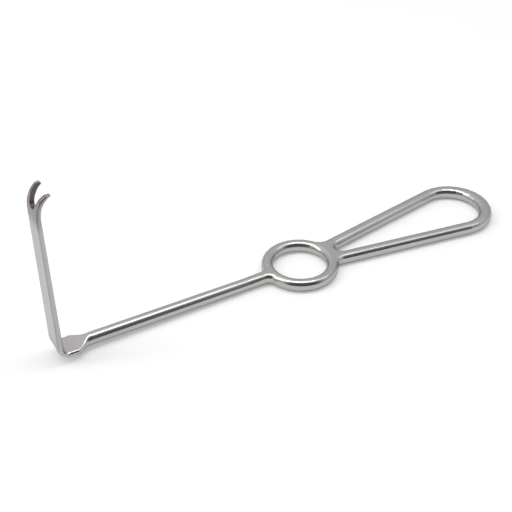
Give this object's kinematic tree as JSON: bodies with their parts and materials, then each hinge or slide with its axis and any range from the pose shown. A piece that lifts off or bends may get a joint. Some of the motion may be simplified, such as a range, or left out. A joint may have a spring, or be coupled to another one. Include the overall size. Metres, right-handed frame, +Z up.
{
  "type": "surgical retractor",
  "caption": "One-piece hand-held retractor: upright forked blade on a round shaft with a finger ring and a teardrop grip loop.",
  "frame": {"origin": "axis of the finger ring, at the middle of the handle's height", "axes": "+X along the handle to the grip loop, +Z up to the side that the blade points to, Y across the tool"},
  "size_m": [0.2272, 0.038, 0.0811],
  "materials": {
    "steel": "satin polish"
  },
  "bodies": {
    "root": {"retractor": "steel"}
  },
  "joints": []
}
